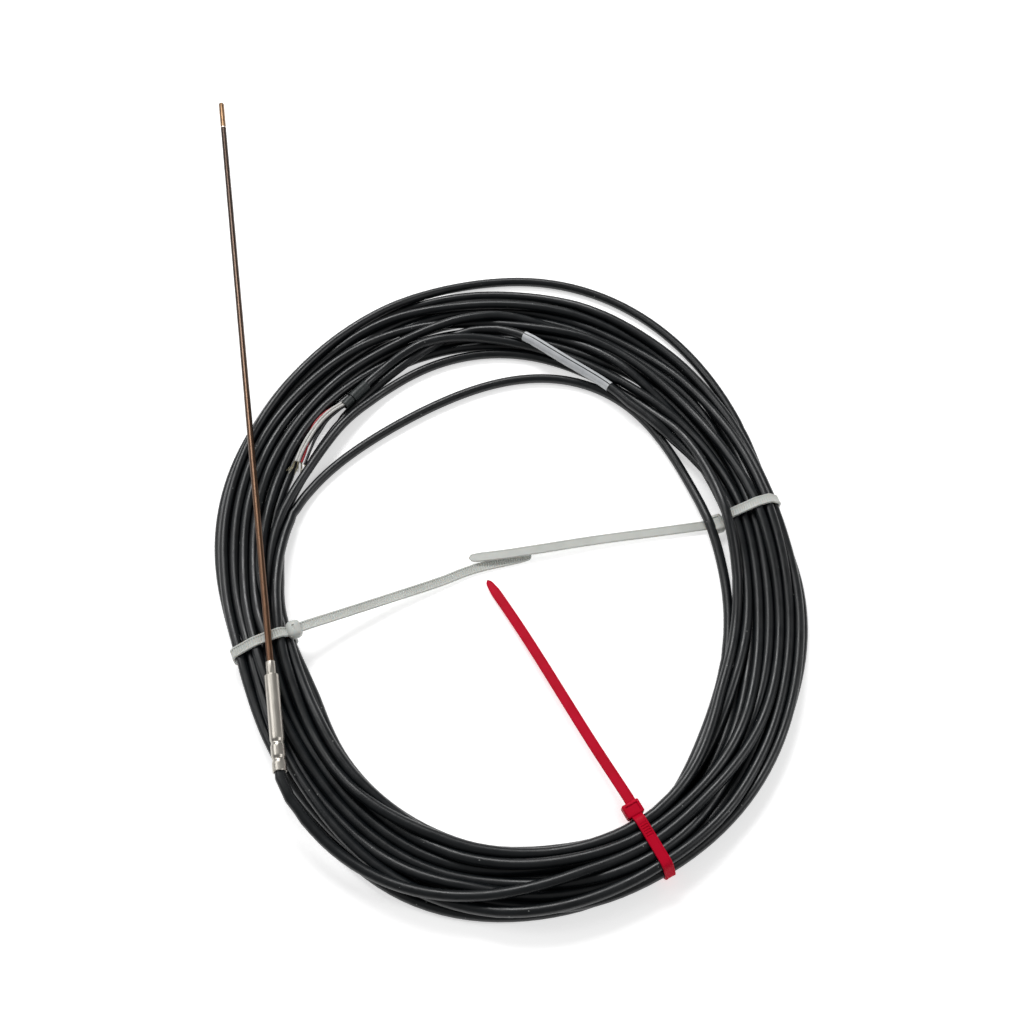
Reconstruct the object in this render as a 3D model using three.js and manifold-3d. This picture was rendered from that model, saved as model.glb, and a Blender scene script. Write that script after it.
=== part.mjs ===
// Sheathed flame sensor probe with a crimped ferrule and a coiled four-core lead.
// Millimetres, +Z up. The probe's axis is Y, its tip at the origin and its lead leaving towards -Y.
// The coil lies on a surface REST_HEIGHT below the axis, and the probe lies across it.
import * as THREE from 'three';
import { mergeVertices } from 'three/addons/utils/BufferGeometryUtils.js';
import Module from 'manifold-3d';

const wasm = await Module();
wasm.setup();

// ---------------------------------------------------------------- driving dimensions

const INSERTION_LENGTH = 350;      // tip to the ferrule's shoulder
const SHEATH_DIA = 3.0;
const SHEATH_WALL = 0.3;
const TIP_CAP_LENGTH = 19;
const TIP_CAP_WALL = 0.35;
const TIP_END_THICKNESS = 1.0;
const TIP_FLAT_DIA = 1.4;          // small flat on the closed end
const COLLAR_WIDTH = 0.9;          // pale ring between the cap and the sheath
const COLLAR_PROUD = 0.06;
const COLLAR_SPIGOT = 4;           // how far the collar reaches into each tube
const COLLAR_BORE = 1.5;

const ELEMENT_DIA = 1.6;
const ELEMENT_LENGTH = 12;
const LEAD_DIA = 0.3;
const LEAD_PITCH_RADIUS = 0.5;
const BEAD_COUNT = 5;
const BEAD_BORE = 0.46;
const BEAD_GAP = 0.4;

const NECK_WALL = 0.45;
const NECK_LENGTH = 6.2;
const BUSH_COLLAR_LENGTH = 7;
const FERRULE_DIA = 6.0;
const FERRULE_WALL = 0.5;
const FERRULE_LENGTH = 42.5;
const FERRULE_LIP = 1.0;           // front wall that holds the bush
const FERRULE_CHAMFER = 0.35;
const CRIMP_FROM_REAR = [12.4, 5.2];
const CRIMP_WIDTH = 1.8;
const CRIMP_WALL = 0.4;             // left outside the jacket where it is crimped

const CABLE_DIA = 4.5;
const CABLE_CORES = ['white_1', 'red', 'white_2', 'black'];
const CORE_DIA = 1.3;
const CORE_PITCH_RADIUS = 1.0;
const CONDUCTOR_DIA = 0.6;
const SPLICE_DIA = 1.3;
const SPLICE_BORE = 1.0;
const SPLICE_LENGTH = 7;
const SPREAD_LENGTH = 3.5;         // where the leads spread to the cable's cores
const JACKET_IN_FERRULE = 18;

const REST_HEIGHT = 17;            // probe axis above the surface that the coil lies on
const COIL_HEIGHT = 13.5;          // under the probe and at the ties
const COIL_HEIGHT_SPREAD = 9.5;    // where the turns spread out at the far side
const SPREAD_FROM_Y = 120;         // start of the spread stretch, from the ferrule's rear
const COIL_EDGE = 2.5;

const STRAP_WIDTH = 4.6;
const STRAP_THICKNESS = 1.2;
const TIE_HEAD = { length: 6.5, width: 8.4, height: 5.4 };
const TIE_CORNER = 5;

const LABEL_DIA = 5.0;
const LABEL_WALL = 0.2;
const LONG_SLEEVE_DIA = 5.6;
const SHORT_SLEEVE_DIA = 4.6;

const FIT = 0.05;                  // radial clearance of a close fit
const GAP = 0.3;                   // left between neighbours that touch
const ROUND = 24;                  // sides of a turned piece

// ---------------------------------------------------------------- worked-out places

const shoulderY = -INSERTION_LENGTH;
const ferruleRearY = shoulderY - FERRULE_LENGTH;
const neckFrontY = shoulderY + NECK_LENGTH;
const bushRearY = shoulderY - FERRULE_LIP - BUSH_COLLAR_LENGTH;
const sheathRearY = bushRearY;
const sheathBore = SHEATH_DIA - 2 * SHEATH_WALL;
const capBore = SHEATH_DIA - 2 * TIP_CAP_WALL;
const neckDia = SHEATH_DIA + 2 * (FIT + NECK_WALL);
const crimpedJacketDia = CABLE_DIA - 2 * FIT;
const collarFrontY = -TIP_CAP_LENGTH - FIT;
const sheathFrontY = collarFrontY - COLLAR_WIDTH - FIT;
const jacketFrontY = ferruleRearY + JACKET_IN_FERRULE;
const spliceFrontY = bushRearY - SPREAD_LENGTH;
const spliceRearY = spliceFrontY - SPLICE_LENGTH;
const spliceMidY = (spliceFrontY + spliceRearY) / 2;
const elementRearY = -TIP_END_THICKNESS - GAP - ELEMENT_LENGTH;
const floorZ = -REST_HEIGHT;
const coilTopZ = floorZ + COIL_HEIGHT;
const spreadTopZ = floorZ + COIL_HEIGHT_SPREAD;

// ---------------------------------------------------------------- colours

const material = (color, roughness, metalness) =>
  new THREE.MeshStandardMaterial({ color, roughness, metalness });

const bronze = material(0x8a6542, 0.42, 1.0);
const paleRing = material(0xc9bfb4, 0.4, 0.9);
const tintedSteel = material(0x5d4a40, 0.32, 1.0);
const steel = material(0xb9b2a6, 0.3, 1.0);
const alumina = material(0xe9e4d8, 0.7, 0.0);
const nickel = material(0xa8a39a, 0.35, 1.0);
const copper = material(0xb87a55, 0.4, 1.0);
const epoxy = material(0x2a2622, 0.5, 0.0);
const blackJacket = material(0x1b1d1f, 0.45, 0.0);
const shrink = material(0x151617, 0.6, 0.0);
const whiteInsulation = material(0xe3e0d8, 0.5, 0.0);
const redInsulation = material(0x9c1d22, 0.5, 0.0);
const blackInsulation = material(0x1a1a1c, 0.5, 0.0);
const tinned = material(0x8d866c, 0.45, 1.0);
const labelFilm = material(0xe4e6e8, 0.35, 0.0);
const naturalNylon = material(0xd9dad3, 0.45, 0.0);
const redNylon = material(0xc8203f, 0.4, 0.0);

const coreInsulation = {
  white_1: whiteInsulation,
  white_2: whiteInsulation,
  red: redInsulation,
  black: blackInsulation,
};

// ---------------------------------------------------------------- building helpers

const model = new THREE.Group();

// The cord, its ties and its far end keep their places from the ferrule's rear face.
const cordGroup = new THREE.Group();
cordGroup.position.set(0, ferruleRearY, 0);
model.add(cordGroup);

function addMesh(name, geometry, surface, parent = model) {
  const mesh = new THREE.Mesh(geometry, surface);
  mesh.name = name;
  parent.add(mesh);
  return mesh;
}

function asSolid(geometry) {
  const bare = geometry.clone();
  bare.deleteAttribute('normal');
  bare.deleteAttribute('uv');
  const welded = mergeVertices(bare, 1e-4);
  return new wasm.Manifold(new wasm.Mesh({
    numProp: 3,
    vertProperties: new Float32Array(welded.attributes.position.array),
    triVerts: new Uint32Array(welded.index.array),
  }));
}

function asGeometry(solid) {
  const mesh = solid.getMesh();
  const geometry = new THREE.BufferGeometry();
  geometry.setAttribute('position', new THREE.BufferAttribute(mesh.vertProperties, 3));
  geometry.setIndex(new THREE.BufferAttribute(mesh.triVerts, 1));
  return geometry;
}

// A turned ring or plug about Y: profile points are [radius, y], counter-clockwise with y up.
function turned(profile) {
  const points = profile.map(([radius, y]) => new THREE.Vector2(radius, y));
  return new THREE.LatheGeometry(points, ROUND);
}

function turnedTube(outerDia, innerDia, frontY, rearY) {
  const outer = outerDia / 2;
  const inner = innerDia / 2;
  return turned([[inner, rearY], [outer, rearY], [outer, frontY], [inner, frontY], [inner, rearY]]);
}

function circlePath(PathType, radius, x = 0, z = 0) {
  const path = new PathType();
  path.absarc(x, z, radius, 0, 2 * Math.PI, false);
  return path;
}

// A full circle takes two curve segments for each one asked for.
const circleSegments = (sides) => sides / 2;

// A straight rod along Y with round bores at the given [x, z, radius] places.
function boredRod(outerDia, bores, frontY, rearY, sides = 16) {
  const section = circlePath(THREE.Shape, outerDia / 2);
  for (const [x, z, radius] of bores) {
    section.holes.push(circlePath(THREE.Path, radius, x, -z));
  }
  const geometry = new THREE.ExtrudeGeometry(section, {
    depth: frontY - rearY, bevelEnabled: false, curveSegments: circleSegments(sides),
  });
  geometry.rotateX(-Math.PI / 2);
  geometry.translate(0, rearY, 0);
  return geometry;
}

function straightRod(dia, x, z, frontY, rearY, sides = 8) {
  const geometry = new THREE.CylinderGeometry(dia / 2, dia / 2, frontY - rearY, sides);
  geometry.translate(x, (frontY + rearY) / 2, z);
  return geometry;
}

// A straight rod between any two points.
function slantedRod(dia, from, to, sides = 8) {
  const start = new THREE.Vector3(...from);
  const run = new THREE.Vector3(...to).sub(start);
  const geometry = new THREE.CylinderGeometry(dia / 2, dia / 2, run.length(), sides);
  geometry.translate(0, run.length() / 2, 0);
  const turn = new THREE.Quaternion().setFromUnitVectors(new THREE.Vector3(0, 1, 0), run.normalize());
  geometry.applyQuaternion(turn);
  geometry.translate(...from);
  return geometry;
}

function joined(geometries) {
  return asGeometry(geometries.map(asSolid).reduce((whole, piece) => whole.add(piece)));
}

// A round cord along a smooth curve through the points, in whole steps of about stepLength.
function cordAlong(points, dia, stepLength = 2.5 * dia, sides = 8) {
  const curve = new THREE.CatmullRomCurve3(points.map((p) => new THREE.Vector3(...p)));
  const steps = Math.max(2, Math.round(curve.getLength() / stepLength));
  return new THREE.ExtrudeGeometry(circlePath(THREE.Shape, dia / 2), {
    extrudePath: curve, steps, bevelEnabled: false, curveSegments: circleSegments(sides),
  });
}

function roundedRectangle(PathType, width, height, corner) {
  const x = width / 2;
  const y = height / 2;
  const path = new PathType();
  path.moveTo(-x + corner, -y);
  path.lineTo(x - corner, -y);
  path.absarc(x - corner, -y + corner, corner, -Math.PI / 2, 0, false);
  path.lineTo(x, y - corner);
  path.absarc(x - corner, y - corner, corner, 0, Math.PI / 2, false);
  path.lineTo(-x + corner, y);
  path.absarc(-x + corner, y - corner, corner, Math.PI / 2, Math.PI, false);
  path.lineTo(-x, -y + corner);
  path.absarc(-x + corner, -y + corner, corner, Math.PI, 1.5 * Math.PI, false);
  return path;
}

// Four places, one for each core, evenly round a pitch circle: [x, z].
function corePlace(index, pitchRadius) {
  const angle = Math.PI / 4 + index * Math.PI / 2;
  return [pitchRadius * Math.cos(angle), pitchRadius * Math.sin(angle)];
}

// ---------------------------------------------------------------- sensing end

function tipCap() {
  const outer = SHEATH_DIA / 2;
  const bore = capBore / 2;
  const flat = TIP_FLAT_DIA / 2;
  const dome = outer - flat;
  const profile = [[0, -TIP_END_THICKNESS], [bore, -TIP_END_THICKNESS], [bore, -TIP_CAP_LENGTH],
    [outer, -TIP_CAP_LENGTH]];
  for (let step = 0; step <= 4; step += 1) {
    const angle = step / 4 * Math.PI / 2;
    profile.push([flat + dome * Math.cos(angle), -dome + dome * Math.sin(angle)]);
  }
  profile.push([0, 0]);
  return turned(profile);
}

function joiningCollar() {
  const ring = SHEATH_DIA / 2 + COLLAR_PROUD;
  const bore = COLLAR_BORE / 2;
  const frontSpigot = capBore / 2 - FIT;
  const rearSpigot = sheathBore / 2 - FIT;
  const rearY = collarFrontY - COLLAR_WIDTH;
  return turned([
    [bore, rearY - COLLAR_SPIGOT], [rearSpigot, rearY - COLLAR_SPIGOT], [rearSpigot, rearY],
    [ring, rearY], [ring, collarFrontY], [frontSpigot, collarFrontY],
    [frontSpigot, collarFrontY + COLLAR_SPIGOT], [bore, collarFrontY + COLLAR_SPIGOT],
    [bore, rearY - COLLAR_SPIGOT],
  ]);
}

addMesh('tip_cap', tipCap(), bronze);
addMesh('joining_collar', joiningCollar(), paleRing);
addMesh('sheath_tube', turnedTube(SHEATH_DIA, sheathBore, sheathFrontY, sheathRearY), tintedSteel);
addMesh('sensing_element', straightRod(ELEMENT_DIA, 0, 0, elementRearY + ELEMENT_LENGTH, elementRearY, 16),
  alumina);

// ---------------------------------------------------------------- inner leads in their ceramic beads

function elementLead(index) {
  const [x, z] = corePlace(index, LEAD_PITCH_RADIUS);
  const [spreadX, spreadZ] = corePlace(index, CORE_PITCH_RADIUS);
  const bendY = bushRearY - GAP;
  const spreadY = spliceFrontY + GAP;
  return joined([
    straightRod(LEAD_DIA, x, z, elementRearY - GAP, bendY),
    slantedRod(LEAD_DIA, [x, bendY, z], [spreadX, spreadY, spreadZ]),
    straightRod(LEAD_DIA, spreadX, spreadZ, spreadY, spliceMidY + GAP),
  ]);
}

CABLE_CORES.forEach((core, index) => {
  addMesh(`element_lead_${core}`, elementLead(index), nickel);
});

const beadsFrontY = sheathFrontY - COLLAR_SPIGOT - GAP;
const beadPitch = (beadsFrontY - sheathRearY) / BEAD_COUNT;
const beadBores = CABLE_CORES.map((core, index) => [...corePlace(index, LEAD_PITCH_RADIUS), BEAD_BORE / 2]);
for (let bead = 0; bead < BEAD_COUNT; bead += 1) {
  const frontY = beadsFrontY - bead * beadPitch;
  const rearY = frontY - beadPitch + BEAD_GAP;
  addMesh(`ceramic_bead_${bead + 1}`, boredRod(sheathBore - 4 * FIT, beadBores, frontY, rearY), alumina);
}

// ---------------------------------------------------------------- ferrule and the joints inside it

function reducerBush() {
  const bore = SHEATH_DIA / 2 + FIT;
  const neck = neckDia / 2;
  const collar = FERRULE_DIA / 2 - FERRULE_WALL - FIT;
  const collarY = shoulderY - FERRULE_LIP - FIT;
  return turned([
    [bore, bushRearY], [collar, bushRearY], [collar, collarY], [neck, collarY],
    [neck, neckFrontY - 0.2], [neck - 0.2, neckFrontY], [bore, neckFrontY], [bore, bushRearY],
  ]);
}

function ferruleSleeve() {
  const outer = FERRULE_DIA / 2;
  const bore = outer - FERRULE_WALL;
  const lip = neckDia / 2 + FIT;
  const crimpBore = crimpedJacketDia / 2 + FIT;
  // The wall keeps its line apart from the crimps, which press it down on the jacket.
  const crimped = (radius, pressed) => CRIMP_FROM_REAR.toReversed().flatMap((fromRear) => {
    const y = ferruleRearY + fromRear;
    const half = CRIMP_WIDTH / 2;
    return [[radius, y - half], [pressed, y - half / 2], [pressed, y + half / 2], [radius, y + half]];
  });
  const outside = [[outer - FERRULE_CHAMFER / 2, ferruleRearY], [outer, ferruleRearY + FERRULE_CHAMFER / 2],
    ...crimped(outer, crimpBore + CRIMP_WALL), [outer, shoulderY - FERRULE_CHAMFER],
    [outer - FERRULE_CHAMFER, shoulderY]];
  const inside = [[lip, shoulderY], [lip, shoulderY - FERRULE_LIP], [bore, shoulderY - FERRULE_LIP],
    ...crimped(bore, crimpBore).toReversed(), [bore, ferruleRearY]];
  return turned([...outside, ...inside, outside[0]]);
}

addMesh('reducer_bush', reducerBush(), steel);
addMesh('ferrule_sleeve', ferruleSleeve(), steel);

function cableCoreEnd(index) {
  const [x, z] = corePlace(index, CORE_PITCH_RADIUS);
  return joined([
    straightRod(CONDUCTOR_DIA, x, z, spliceMidY - GAP, spliceRearY - 2 * GAP),
    straightRod(CORE_DIA, x, z, spliceRearY - GAP, ferruleRearY + GAP, 12),
  ]);
}

CABLE_CORES.forEach((core, index) => {
  const [x, z] = corePlace(index, CORE_PITCH_RADIUS);
  const splice = boredRod(SPLICE_DIA, [[0, 0, SPLICE_BORE / 2]], spliceFrontY, spliceRearY, 10);
  splice.translate(x, 0, z);
  addMesh(`splice_sleeve_${core}`, splice, copper);
  addMesh(`core_end_${core}`, cableCoreEnd(index), coreInsulation[core]);
});

const pottingBores = CABLE_CORES.map((core, index) =>
  [...corePlace(index, CORE_PITCH_RADIUS), SPLICE_DIA / 2 + FIT / 2]);
const pottingDia = FERRULE_DIA - 2 * FERRULE_WALL - 2 * FIT;
addMesh('potting_plug', boredRod(pottingDia, pottingBores, spliceFrontY, jacketFrontY + GAP, 12), epoxy);

const jacketBore = 2 * CORE_PITCH_RADIUS + CORE_DIA + 2 * FIT;
const jacketEnd = turnedTube(crimpedJacketDia, jacketBore, jacketFrontY, ferruleRearY + GAP);
addMesh('jacket_end', jacketEnd, blackJacket);

// ---------------------------------------------------------------- cable ties
// Each tie's places are measured from the ferrule's rear face, its heights from the surface.

const TIES = [
  {
    name: 'tie_left', surface: naturalNylon, centre: [-3.5, 61.2], turn: 12, width: 26.6, headRise: 9,
    tail: [[17, 65.7, 11.5], [30, 69.2, 8.5], [56.8, 75.8, 4], [77.3, 80.4, 1.8], [94.7, 84.5, 1],
      [121, 86.3, 0.9]],
  },
  {
    name: 'tie_right', surface: naturalNylon, centre: [225.5, 88.3], turn: 188, width: 26.6, headRise: 0.4,
    tail: [[207.5, 86.8, 1.7], [182, 87.7, 1.6], [152, 88.4, 2.2], [122.5, 88.1, 3.3], [107.5, 88.3, 3.3],
      [92.2, 89.5, 2.6]],
  },
  {
    name: 'tie_red', surface: redNylon, centre: [144, -55.5], turn: 108.5, width: 26.6, headRise: 8.6,
    tail: [[138.3, -35.3, 11], [128.4, -6.8, 7.8], [115, 33.9, 3.8], [107.4, 55.4, 2.2], [98.8, 77.6, 1]],
  },
];
const bandBottom = GAP;
const bandTop = COIL_HEIGHT + GAP + STRAP_THICKNESS;

// Each shape is built with X across the bundle towards the middle of the coil and Y up.
function tieBand(tie, grow) {
  const height = bandTop - bandBottom;
  const width = tie.width + 2 * STRAP_THICKNESS;
  const outline = roundedRectangle(THREE.Shape, width + 2 * grow, height + 2 * grow, TIE_CORNER + grow);
  outline.holes.push(roundedRectangle(THREE.Path, tie.width - 2 * grow,
    height - 2 * STRAP_THICKNESS - 2 * grow, TIE_CORNER - STRAP_THICKNESS - grow));
  const depth = STRAP_WIDTH + 2 * grow;
  const geometry = new THREE.ExtrudeGeometry(outline, { depth, bevelEnabled: false, curveSegments: 4 });
  geometry.translate(0, (bandTop + bandBottom) / 2, -depth / 2);
  return geometry;
}

function tieHead(tie, grow) {
  const length = TIE_HEAD.length + 2 * grow;
  const height = TIE_HEAD.height + 2 * grow;
  const outline = roundedRectangle(THREE.Shape, length, height, 0.8);
  const depth = TIE_HEAD.width + 2 * grow;
  const geometry = new THREE.ExtrudeGeometry(outline, { depth, bevelEnabled: false, curveSegments: 2 });
  const insideEdge = tie.width / 2 + GAP;
  geometry.translate(insideEdge + TIE_HEAD.length / 2, tie.headRise + TIE_HEAD.height / 2, -depth / 2);
  return geometry;
}

function tieTail(tie, grow) {
  const points = tie.tail.map(([x, y, rise]) => new THREE.Vector3(x, y, rise));
  const inHead = points[0].clone().lerp(points[1], -TIE_HEAD.length / 2 / points[0].distanceTo(points[1]));
  const curve = new THREE.CatmullRomCurve3([inHead, ...points]);
  const half = [STRAP_THICKNESS / 2 + grow, STRAP_WIDTH / 2 + grow];
  const section = new THREE.Shape();
  section.moveTo(-half[0], -half[1]);
  section.lineTo(half[0], -half[1]);
  section.lineTo(half[0], half[1]);
  section.lineTo(-half[0], half[1]);
  return new THREE.ExtrudeGeometry(section, { extrudePath: curve, steps: 12, bevelEnabled: false });
}

function tieSolid(tie, grow = 0) {
  const ring = [tieBand(tie, grow), tieHead(tie, grow)].map((geometry) => {
    geometry.rotateX(Math.PI / 2);
    geometry.rotateZ(THREE.MathUtils.degToRad(tie.turn));
    geometry.translate(tie.centre[0], tie.centre[1], 0);
    return geometry;
  });
  const pieces = [...ring, tieTail(tie, grow)];
  pieces.forEach((geometry) => geometry.translate(0, 0, floorZ));
  return pieces.map(asSolid).reduce((whole, piece) => whole.add(piece));
}

TIES.forEach((tie) => {
  addMesh(tie.name, asGeometry(tieSolid(tie)), tie.surface, cordGroup);
});

// ---------------------------------------------------------------- coil
// Inner and outer radii of the coil every 30 degrees, counter-clockwise from +X.

const COIL_CENTRE = [108, 86.5];
const COIL_OUTER = [131.5, 142, 160, 162, 149.5, 138, 128.5, 135, 156, 160.5, 153.7, 140];
const COIL_INNER = [92.5, 94, 100, 107, 106, 98.6, 101, 106, 125, 133.5, 123, 102];

function coilOutline(radii, inset) {
  const corners = radii.map((radius, index) => {
    const angle = index * 2 * Math.PI / radii.length;
    return new THREE.Vector3((radius - inset) * Math.cos(angle), (radius - inset) * Math.sin(angle), 0);
  });
  const curve = new THREE.CatmullRomCurve3(corners, true);
  return curve.getPoints(radii.length * 3).slice(0, -1).map((p) => new THREE.Vector2(p.x, p.y));
}

function coilSolid() {
  const outline = new THREE.Shape(coilOutline(COIL_OUTER, COIL_EDGE));
  outline.holes.push(new THREE.Path(coilOutline(COIL_INNER, -COIL_EDGE)));
  const geometry = new THREE.ExtrudeGeometry(outline, {
    depth: COIL_HEIGHT - 2 * COIL_EDGE, bevelSize: COIL_EDGE, bevelThickness: COIL_EDGE, bevelSegments: 1,
  });
  geometry.translate(COIL_CENTRE[0], COIL_CENTRE[1], floorZ + COIL_EDGE);
  const reach = 2 * Math.max(...COIL_OUTER);
  const aboveSpread = new THREE.BoxGeometry(2 * reach, reach, COIL_HEIGHT);
  aboveSpread.translate(COIL_CENTRE[0], SPREAD_FROM_Y + reach / 2, spreadTopZ + COIL_HEIGHT / 2);
  return TIES.reduce((coil, tie) => coil.subtract(tieSolid(tie, GAP)),
    asSolid(geometry).subtract(asSolid(aboveSpread)));
}

addMesh('cable_coil', asGeometry(coilSolid()), blackJacket, cordGroup);

// ---------------------------------------------------------------- stretches of the lead outside the coil

const cableRadius = CABLE_DIA / 2;
const onCoilZ = coilTopZ + GAP + cableRadius;
const onFloorZ = floorZ + GAP + cableRadius;
const tailZ = spreadTopZ + GAP + LONG_SLEEVE_DIA / 2;

const LEAD_RUN = [[0, -GAP, 0], [0.3, -5, 0], [3.2, -12, onCoilZ / 2], [9, -21, onCoilZ], [16, -31, onCoilZ],
  [25, -41, onCoilZ], [36, -50, onCoilZ], [49, -57, onCoilZ], [64, -61, onCoilZ], [82, -62.5, onCoilZ],
  [100, -61.5, onCoilZ], [116, -58.5, onCoilZ]];
addMesh('lead_run', cordAlong(LEAD_RUN, CABLE_DIA), blackJacket, cordGroup);

const LOOSE_TURN = [[36, 148], [50, 156.5], [71, 168.5], [93, 176.5], [113, 181.5], [132, 183]];
addMesh('loose_turn', cordAlong(LOOSE_TURN.map(([x, y]) => [x, y, onFloorZ]), CABLE_DIA), blackJacket,
  cordGroup);

const TAIL_RUN = [[97, 213], [87, 210], [78, 206.5], [69, 201.5], [62.5, 196.5], [57.6, 192]];
addMesh('tail_run', cordAlong(TAIL_RUN.map(([x, y]) => [x, y, tailZ]), CABLE_DIA), blackJacket, cordGroup);

// ---------------------------------------------------------------- the lead's far end

const LONG_SLEEVE = [[57.2, 191.6, tailZ], [49.8, 185.2, tailZ]];
const SHORT_SLEEVE = [[49.4, 184.9, tailZ], [45.1, 181.9, tailZ]];
addMesh('long_heat_shrink', slantedRod(LONG_SLEEVE_DIA, ...LONG_SLEEVE, 16), shrink, cordGroup);
addMesh('short_heat_shrink', slantedRod(SHORT_SLEEVE_DIA, ...SHORT_SLEEVE, 16), shrink, cordGroup);

// Where each free core runs: [x, y, height above the sleeve's axis], and its bare end.
const FREE_CORES = {
  white_1: [[43.7, 182.4, 0.75], [38.9, 180, 0.8], [33.9, 176.1, 0.8], [29.9, 171.6, 0.8], [26.2, 166.7, 0.8],
    [23.5, 162.6, 0.7], [20.9, 157.9, 0.5], [18.8, 153.5, 0.3]],
  white_2: [[44.3, 181.2, 0.75], [39.7, 178.8, 0.8], [34.9, 175.1, 0.8], [30.9, 170.8, 0.8], [27.4, 165.9, 0.8],
    [24.7, 161.8, 0.7], [22.1, 157.3, 0.5], [20, 152.9, 0.3]],
  red: [[43.65, 182.5, -0.75], [38.3, 181, -0.75], [32.8, 177.3, -0.75], [28.9, 172.5, -0.75],
    [26.3, 166.6, -0.8], [24.9, 161.7, -0.8], [23, 156.8, -0.8], [21.2, 152.9, -0.9]],
  black: [[44.35, 181.1, -0.75], [40, 178.3, -0.75], [35.7, 174.2, -0.8], [32.3, 169.7, -1], [28.9, 165, -1.4],
    [26.6, 160.7, -1.8], [24.4, 156.1, -2], [22.6, 152.2, -2]],
};
const BARE_ENDS = {
  white_1: [[18.5, 152.8, 0.2], [16.5, 150.3, -0.4], [13.4, 148, -0.8]],
  white_2: [[19.8, 152.2, 0.1], [19.2, 149.4, -0.6], [18.3, 146.8, -1]],
  red: [[20.9, 152.2, -1], [21.1, 149, -1.3], [21.8, 146.4, -1.6]],
  black: [[22.4, 151.4, -2], [22.9, 148.8, -2.1], [24.6, 146.4, -2.1]],
};
const BARE_DIA = 0.7;
const CORE_STEP = 3;

for (const core of CABLE_CORES) {
  const atTail = ([x, y, rise]) => [x, y, tailZ + rise];
  const insulated = cordAlong(FREE_CORES[core].map(atTail), CORE_DIA, CORE_STEP);
  const bare = cordAlong(BARE_ENDS[core].map(atTail), BARE_DIA, CORE_STEP / 2);
  addMesh(`free_core_${core}`, insulated, coreInsulation[core], cordGroup);
  addMesh(`bare_strands_${core}`, bare, tinned, cordGroup);
}

// ---------------------------------------------------------------- marker label round one turn

const labelZ = spreadTopZ + GAP + LABEL_DIA / 2;
const LABEL_ENDS = [[140.5, 205.5, labelZ], [175, 167.5, labelZ]];

function markerLabel() {
  const outer = asSolid(slantedRod(LABEL_DIA, ...LABEL_ENDS, 16));
  const [from, to] = LABEL_ENDS.map((p) => new THREE.Vector3(...p));
  const beyond = [from.clone().lerp(to, -0.1), from.clone().lerp(to, 1.1)].map((p) => p.toArray());
  const bore = asSolid(slantedRod(LABEL_DIA - 2 * LABEL_WALL, ...beyond, 16));
  return asGeometry(outer.subtract(bore));
}

addMesh('marker_label', markerLabel(), labelFilm, cordGroup);

export default model;
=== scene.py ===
"""Looks of a sheathed flame sensor probe with a crimped ferrule and a coiled four-core lead.

The probe lies along Y with its tip at the origin. Shapes are worked out in millimetres, in the cord's
own frame: its origin is the middle of the ferrule's rear face. They are turned to metres when a mesh
or a curve is made.
"""

import math

import bmesh
import bpy
import numpy as np
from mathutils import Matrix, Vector


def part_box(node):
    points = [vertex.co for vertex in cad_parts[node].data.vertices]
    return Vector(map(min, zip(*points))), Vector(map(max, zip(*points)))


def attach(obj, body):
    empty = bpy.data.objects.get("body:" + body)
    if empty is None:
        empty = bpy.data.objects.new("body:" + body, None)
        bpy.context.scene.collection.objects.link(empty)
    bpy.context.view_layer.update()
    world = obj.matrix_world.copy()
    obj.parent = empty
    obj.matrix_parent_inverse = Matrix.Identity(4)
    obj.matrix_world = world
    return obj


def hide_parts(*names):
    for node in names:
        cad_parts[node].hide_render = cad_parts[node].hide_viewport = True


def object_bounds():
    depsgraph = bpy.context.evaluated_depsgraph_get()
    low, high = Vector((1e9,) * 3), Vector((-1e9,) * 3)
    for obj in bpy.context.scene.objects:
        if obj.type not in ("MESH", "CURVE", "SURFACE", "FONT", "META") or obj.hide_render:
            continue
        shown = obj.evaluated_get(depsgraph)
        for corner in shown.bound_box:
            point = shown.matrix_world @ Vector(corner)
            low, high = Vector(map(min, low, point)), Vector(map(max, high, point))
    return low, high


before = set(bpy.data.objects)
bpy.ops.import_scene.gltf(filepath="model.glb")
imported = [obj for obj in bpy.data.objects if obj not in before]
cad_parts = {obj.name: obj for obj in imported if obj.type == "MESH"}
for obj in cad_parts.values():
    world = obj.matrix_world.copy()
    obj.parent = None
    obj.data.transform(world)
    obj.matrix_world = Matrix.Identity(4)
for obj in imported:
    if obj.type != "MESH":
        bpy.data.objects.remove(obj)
cad_low, cad_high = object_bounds()

MM = 0.001


def box_mm(node):
    low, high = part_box(node)
    return np.array(low) / MM, np.array(high) / MM


# ---- places read from the frame

REAR_Y = box_mm("ferrule_sleeve")[0][1]
SHOULDER_Y = box_mm("ferrule_sleeve")[1][1]
NECK_FRONT_Y = box_mm("reducer_bush")[1][1]
BUSH_REAR_Y = box_mm("reducer_bush")[0][1]
FLOOR_Z = cad_low.z / MM
FERRULE_RADIUS = box_mm("ferrule_sleeve")[1][0]
SHEATH_RADIUS = box_mm("sheath_tube")[1][0]
SHEATH_FRONT_Y = box_mm("sheath_tube")[1][1]
SHEATH_REAR_Y = box_mm("sheath_tube")[0][1]
CAP_REAR_Y = box_mm("tip_cap")[0][1]
ORIGIN = np.array([0.0, REAR_Y, 0.0])       # of the cord's own frame

CABLE_DIA = 4.5
CABLE_RADIUS = CABLE_DIA / 2

# ---- camera

LENS_MM = 40.92
CAMERA_AT_MM = (68.27, -544.49, 466.0)
CAMERA_TURN_DEG = (29.0, 0.0, -10.368)


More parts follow.
